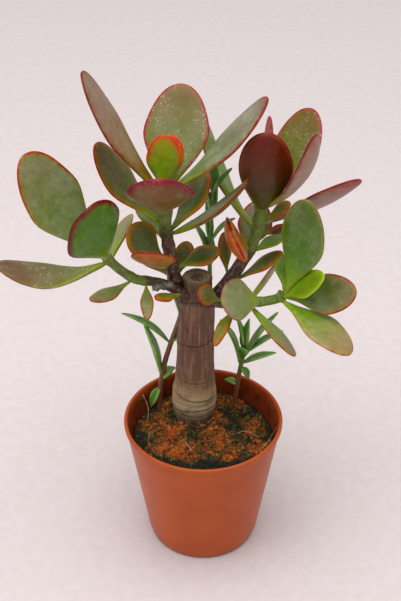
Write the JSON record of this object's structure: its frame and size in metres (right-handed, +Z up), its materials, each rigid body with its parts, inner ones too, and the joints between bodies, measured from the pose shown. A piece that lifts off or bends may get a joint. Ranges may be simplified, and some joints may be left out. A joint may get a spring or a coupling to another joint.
{
  "type": "potted jade plant",
  "caption": "Small potted jade plant: a pruned woody trunk, forked green stems with red-edged fleshy leaves, narrow-leaved sprigs and mossy soil in a tapered nursery pot.",
  "frame": {"origin": "centre of the pot's flat base, on the surface that it stands on", "axes": "+Z up, -Y towards the plant's front, +X to the right seen from the front"},
  "size_m": [0.1169, 0.0744, 0.175],
  "materials": {
    "terracotta_plastic": "moulded, satin",
    "potting_soil": "crumbly",
    "moss": "rust-brown and green tufts",
    "bark": "ringed, finely furrowed bark",
    "green_stem": "smooth, green above and purple-brown below",
    "jade_leaf": "waxy, with red margins",
    "narrow_leaf": "soft, fine"
  },
  "bodies": {
    "root": {"pot": "terracotta_plastic", "soil": "potting_soil", "moss": "moss", "trunk": "bark", "left_branch": "green_stem", "right_branch": "green_stem", "left_shoot": "green_stem", "right_shoot": "green_stem", "left_branch_leaf_1": "jade_leaf", "left_branch_leaf_2": "jade_leaf", "left_branch_leaf_3": "jade_leaf", "left_branch_leaf_4": "jade_leaf", "left_branch_leaf_5": "jade_leaf", "left_branch_leaf_6": "jade_leaf", "left_branch_leaf_7": "jade_leaf", "left_branch_leaf_8": "jade_leaf", "left_branch_leaf_9": "jade_leaf", "left_branch_leaf_10": "jade_leaf", "left_branch_leaf_11": "jade_leaf", "left_branch_leaf_12": "jade_leaf", "left_branch_leaf_13": "jade_leaf", "right_branch_leaf_1": "jade_leaf", "right_branch_leaf_2": "jade_leaf", "right_branch_leaf_3": "jade_leaf", "right_branch_leaf_4": "jade_leaf", "right_branch_leaf_5": "jade_leaf", "right_branch_leaf_6": "jade_leaf", "right_branch_leaf_7": "jade_leaf", "right_branch_leaf_8": "jade_leaf", "right_branch_leaf_9": "jade_leaf", "right_branch_leaf_10": "jade_leaf", "right_branch_leaf_11": "jade_leaf", "right_branch_leaf_12": "jade_leaf", "left_shoot_leaf_1": "jade_leaf", "left_shoot_leaf_2": "jade_leaf", "left_shoot_leaf_3": "jade_leaf", "left_shoot_leaf_4": "jade_leaf", "left_shoot_leaf_5": "jade_leaf", "left_shoot_leaf_6": "jade_leaf", "left_shoot_leaf_7": "jade_leaf", "right_shoot_leaf_1": "jade_leaf", "right_shoot_leaf_2": "jade_leaf", "right_shoot_leaf_3": "jade_leaf", "right_shoot_leaf_4": "jade_leaf", "right_shoot_leaf_5": "jade_leaf", "right_shoot_leaf_6": "jade_leaf", "right_shoot_leaf_7": "jade_leaf", "right_shoot_leaf_8": "jade_leaf", "right_shoot_leaf_9": "jade_leaf", "right_shoot_leaf_10": "jade_leaf", "back_leaf_1": "jade_leaf", "back_leaf_2": "jade_leaf", "back_leaf_3": "jade_leaf", "narrow_sprig_back": "narrow_leaf", "narrow_sprig_left": "narrow_leaf", "narrow_sprig_right": "narrow_leaf"}
  },
  "joints": []
}
